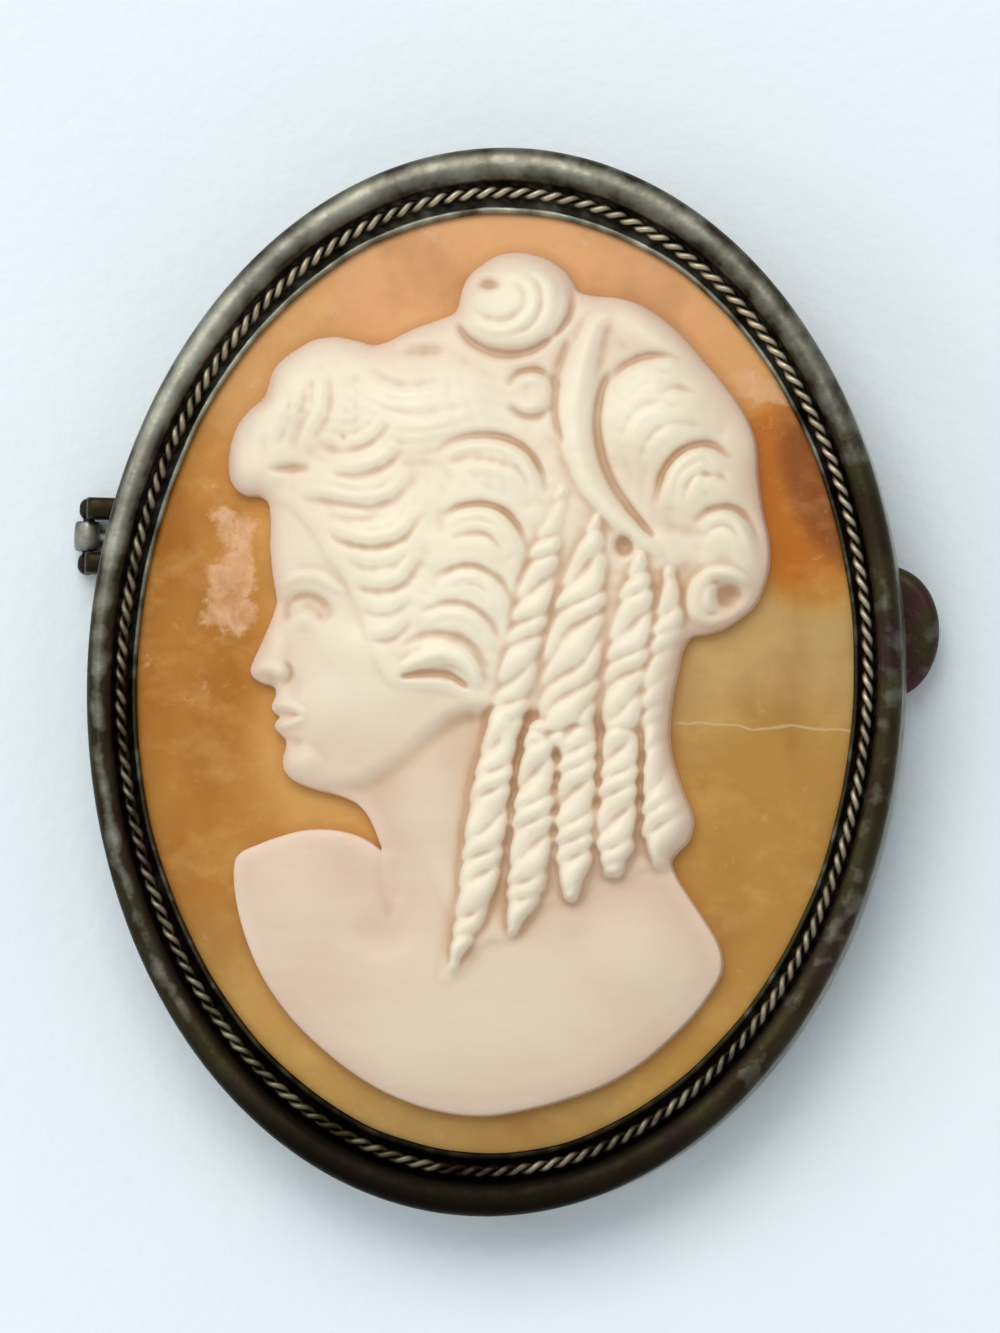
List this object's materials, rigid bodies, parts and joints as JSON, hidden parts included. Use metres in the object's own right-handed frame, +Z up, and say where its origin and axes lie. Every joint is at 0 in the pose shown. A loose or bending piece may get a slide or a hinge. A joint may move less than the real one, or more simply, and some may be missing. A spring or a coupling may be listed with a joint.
{
  "type": "cameo brooch",
  "caption": "Oval shell cameo brooch: a carved profile bust on a domed shell plate, set in a silver frame with a round rim and twisted wire, with a hinged pin and hook catch behind.",
  "frame": {"origin": "middle of the footprint on the surface the brooch lies on, face up", "axes": "+Z up from the surface, +Y towards the top of the oval and the figure's head, +X to the right seen from the front, towards the catch. The brooch leans 4.4 degrees, top end raised, on its pin's eye, its catch and its lower edge"},
  "size_m": [0.0367, 0.0446, 0.0085],
  "materials": {
    "tarnished_silver": "tarnished, nearly black in the hollows, rubbed bright on the rim",
    "wire_silver": "twisted wire, rubbed bright on its crests, dark between them",
    "carved_shell": "polished shell: creamy white carving over a peach to ochre ground",
    "pin_steel": "dull steel"
  },
  "bodies": {
    "root": {"bezel_frame": "tarnished_silver", "rope_wire": "wire_silver", "shell_cameo": "carved_shell", "brooch_pin": "pin_steel"}
  },
  "joints": []
}
